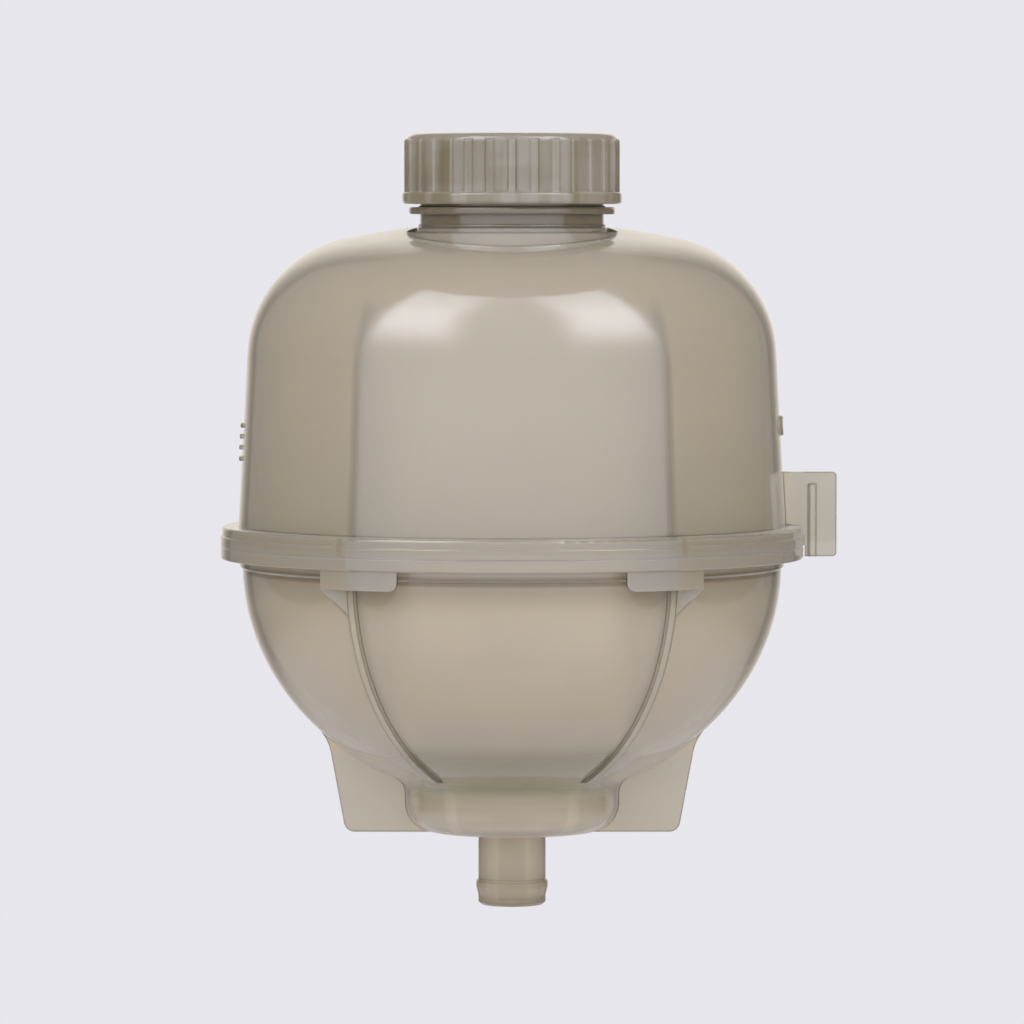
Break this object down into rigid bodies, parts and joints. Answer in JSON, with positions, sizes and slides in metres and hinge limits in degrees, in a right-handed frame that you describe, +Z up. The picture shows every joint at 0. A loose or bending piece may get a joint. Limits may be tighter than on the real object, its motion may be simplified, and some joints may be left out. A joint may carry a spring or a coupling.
{
  "type": "coolant_expansion_tank",
  "caption": "Round moulded coolant expansion tank of milky plastic: domed upper shell welded to a bowl, offset knurled filler cap, bottom hose nipple, feet and side tab.",
  "frame": {"origin": "on the axis of the outlet nipple and tank body, in the plane of the feet and the sump floor", "axes": "+Z up along the tank axis, the outlet hose leaves along -Z; +X towards the side tab; -Y is the front, towards which the filler neck is offset"},
  "size_m": [0.1733, 0.164, 0.2173],
  "materials": {
    "tank_plastic": "milky translucent grey-beige polypropylene, glossy moulded skin",
    "cap_plastic": "the same grey-beige plastic as the tank, a little denser, satin gloss with knurled skirt",
    "valve_plastic": "plain moulded plastic of the valve parts inside the cap",
    "seal_rubber": "black sealing rubber",
    "spring_steel": "drawn stainless spring wire and stamped washer"
  },
  "bodies": {
    "tank": {"upper_shell": "tank_plastic", "lower_shell": "tank_plastic"},
    "cap_core": {"cap_insert": "valve_plastic", "valve_cover": "valve_plastic", "neck_seal_ring": "seal_rubber", "pressure_spring": "spring_steel"},
    "cap": {"cap_shell": "cap_plastic"},
    "pressure_valve": {"pressure_valve_plate": "valve_plastic", "pressure_valve_seal": "seal_rubber", "vacuum_spring": "spring_steel"},
    "vacuum_valve": {"vacuum_poppet": "valve_plastic", "vacuum_spring_clip": "spring_steel"}
  },
  "joints": [
    {"name": "cap_lift", "type": "slide", "parent": "tank", "child": "cap_core", "axis": [0, 0, 1], "range_m": [0, 0.024]},
    {"name": "cap_turn", "type": "hinge", "parent": "cap_core", "child": "cap", "pos_m": [0, -0.0236, 0.185], "axis": [0, 0, 1], "range_deg": [0, 1080]},
    {"name": "pressure_valve_lift", "type": "slide", "parent": "cap_core", "child": "pressure_valve", "axis": [0, 0, 1], "range_m": [0, 0.0016], "stiffness_N_per_m": 3000, "deforming": ["pressure_spring"]},
    {"name": "vacuum_valve_drop", "type": "slide", "parent": "pressure_valve", "child": "vacuum_valve", "axis": [0, 0, -1], "range_m": [0, 0.0012], "stiffness_N_per_m": 400, "deforming": ["vacuum_spring"]}
  ],
  "couplings": [
    {"joint": "cap_turn", "follows": "cap_lift", "rad_per_m": 785.4}
  ]
}
